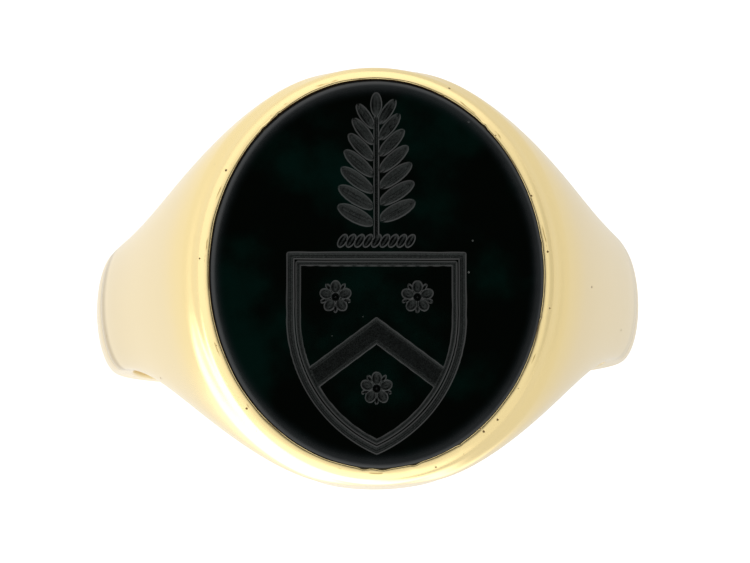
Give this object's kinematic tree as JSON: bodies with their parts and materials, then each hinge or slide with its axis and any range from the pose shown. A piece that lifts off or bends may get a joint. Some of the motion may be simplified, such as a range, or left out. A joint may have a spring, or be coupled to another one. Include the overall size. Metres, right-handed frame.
{
  "type": "signet ring",
  "caption": "Signet ring with a large oval seal stone in a rubbed-over setting, domed shoulders that narrow to a half-round shank, and an open back.",
  "frame": {"origin": "centre of the finger hole, halfway across the hoop's width", "axes": "+Y along the finger hole towards the top of the seal, +Z from the hole's centre towards the face, +X to the right as the seal is read"},
  "size_m": [0.0206, 0.0148, 0.022],
  "materials": {
    "gold": "polished yellow gold, worn",
    "solder": "polished, slightly darker than the gold",
    "stone": "polished dark green bloodstone with a matt engraved seal",
    "cement": "set shellac"
  },
  "bodies": {
    "root": {"back_shank": "gold", "left_shoulder": "gold", "right_shoulder": "gold", "setting_head": "gold", "bezel_collar": "gold", "stone_bearer": "gold", "stone_cement": "cement", "seal_stone": "stone", "solder_seams": "solder"}
  },
  "joints": []
}
